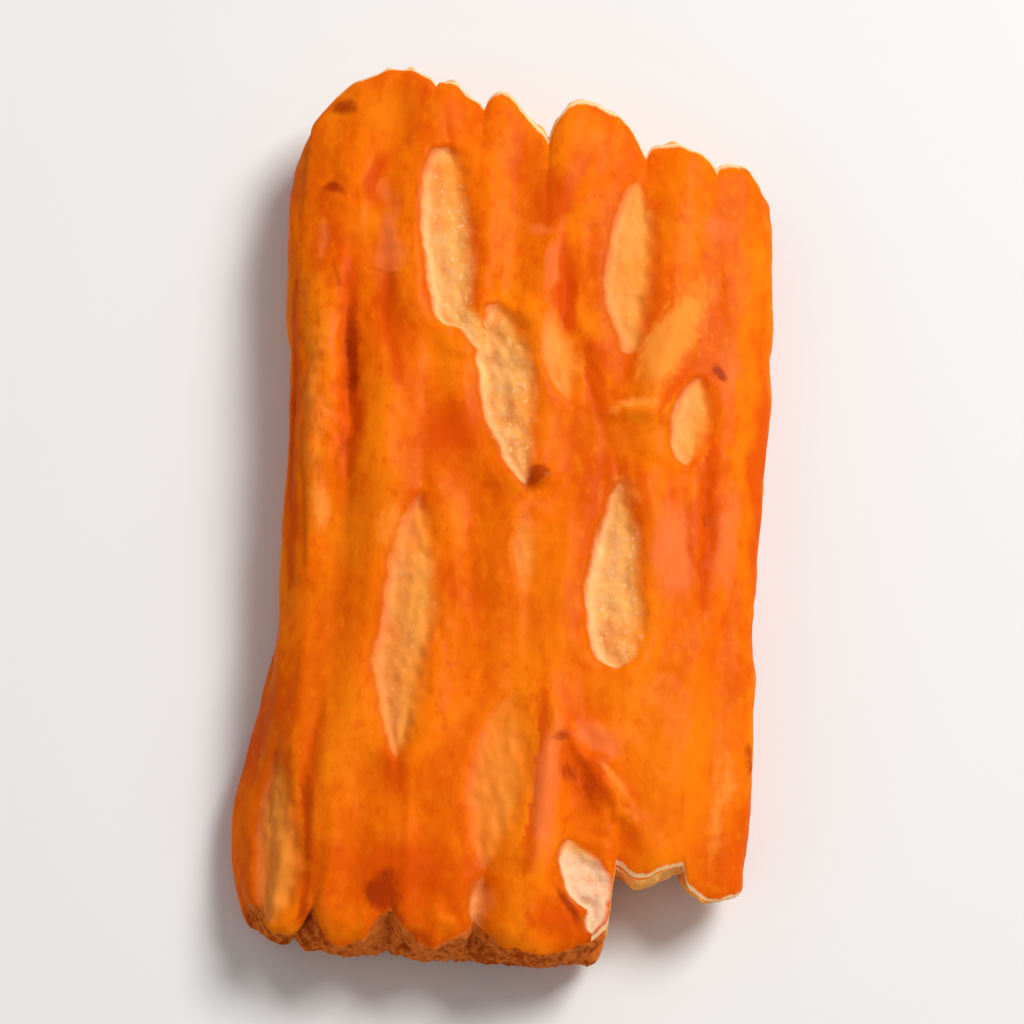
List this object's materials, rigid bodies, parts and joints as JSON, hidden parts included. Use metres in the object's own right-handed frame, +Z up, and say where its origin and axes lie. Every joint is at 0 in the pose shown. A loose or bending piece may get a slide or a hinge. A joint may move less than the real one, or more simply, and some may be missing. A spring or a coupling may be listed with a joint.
{
  "type": "rice cracker",
  "caption": "Small oblong glazed rice cracker with toothed ends, lens-shaped splits along its puffed strands and a broken corner.",
  "frame": {"origin": "middle of the bounding box's bottom face, on the surface that the cracker lies on", "axes": "+Z up through the cracker, +Y along its length towards the end with the deeper teeth, +X across it, with the broken corner at -Y on the +X side"},
  "size_m": [0.0232, 0.0416, 0.006],
  "materials": {
    "glazed_dough": "orange soy-glazed skin, slightly glossy, with paler matt dough in its splits"
  },
  "bodies": {
    "root": {"cracker": "glazed_dough"}
  },
  "joints": []
}
